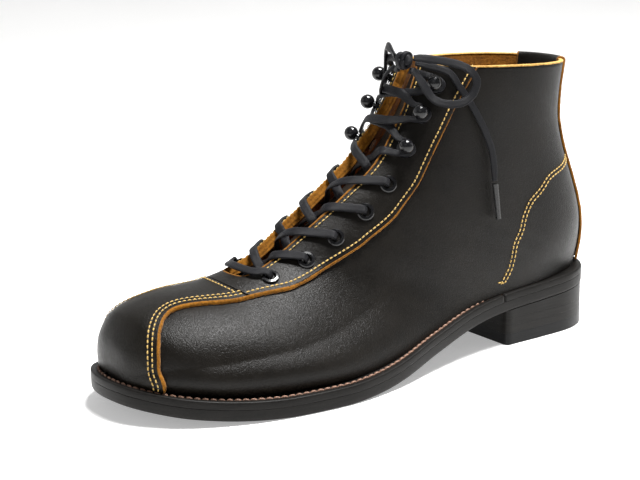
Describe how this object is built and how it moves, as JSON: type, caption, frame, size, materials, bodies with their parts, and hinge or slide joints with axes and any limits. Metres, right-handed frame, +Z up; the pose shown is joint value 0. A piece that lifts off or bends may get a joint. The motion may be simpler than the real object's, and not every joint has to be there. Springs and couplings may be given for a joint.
{
  "type": "ankle boot",
  "caption": "Laced leather ankle boot with a toe cap, eyelets and speed hooks, a stitched welt and a stacked heel.",
  "frame": {"origin": "centre of the boot's footprint, on the floor under the heel and the ball of the foot", "axes": "+Z up, toe towards -Y, outer side of the foot towards +X"},
  "size_m": [0.1089, 0.3033, 0.1697],
  "materials": {
    "black_leather": "satin, fine grain, tan core at the cut edges",
    "tongue_leather": "satin",
    "tan_suede": "rough flesh side",
    "insole_leather": "smooth",
    "stiffener": "matte",
    "canvas_rib": "woven",
    "cork": "granular",
    "spring_steel": "brushed",
    "sole_edge": "waxed edge",
    "heel_leather": "waxed edge",
    "heel_rubber": "matte",
    "brass_nail": "plain",
    "black_enamel": "glossy",
    "waxed_lace": "waxed, flat",
    "aglet": "glossy"
  },
  "bodies": {
    "boot": {"outsole": "sole_edge", "welt": "sole_edge", "heel_rand": "sole_edge", "heel_lift_1": "heel_leather", "heel_lift_2": "heel_leather", "heel_lift_3": "heel_leather", "top_lift": "heel_rubber", "heel_nails": "brass_nail", "insole": "insole_leather", "insole_rib": "canvas_rib", "cork_filler": "cork", "shank": "spring_steel", "sock_liner": "tan_suede", "toe_cap": "black_leather", "toe_puff": "stiffener", "eyestay": "black_leather", "facing_stay_left": "tan_suede", "facing_stay_right": "tan_suede", "quarter_left": "black_leather", "quarter_right": "black_leather", "backstay": "black_leather", "heel_counter": "stiffener", "counter_lining": "tan_suede", "eyelet_left_1": "black_enamel", "eyelet_left_2": "black_enamel", "eyelet_left_3": "black_enamel", "eyelet_left_4": "black_enamel", "eyelet_left_5": "black_enamel", "eyelet_right_1": "black_enamel", "eyelet_right_2": "black_enamel", "eyelet_right_3": "black_enamel", "eyelet_right_4": "black_enamel", "eyelet_right_5": "black_enamel", "hook_left_1": "black_enamel", "hook_left_2": "black_enamel", "hook_left_3": "black_enamel", "hook_right_1": "black_enamel", "hook_right_2": "black_enamel", "hook_right_3": "black_enamel", "lace": "waxed_lace", "lace_bow": "waxed_lace", "lace_end_left": "waxed_lace", "lace_end_right": "waxed_lace", "aglet_left": "aglet", "aglet_right": "aglet"},
    "tongue": {"tongue": "tongue_leather", "tongue_facing": "tan_suede"}
  },
  "joints": [
    {"name": "tongue_fold", "type": "hinge", "parent": "boot", "child": "tongue", "pos_m": [-0.00775, -0.0766, 0.056], "axis": [-1, 0, 0], "range_deg": [0, 12], "stiffness_Nm_per_rad": 0.5}
  ]
}
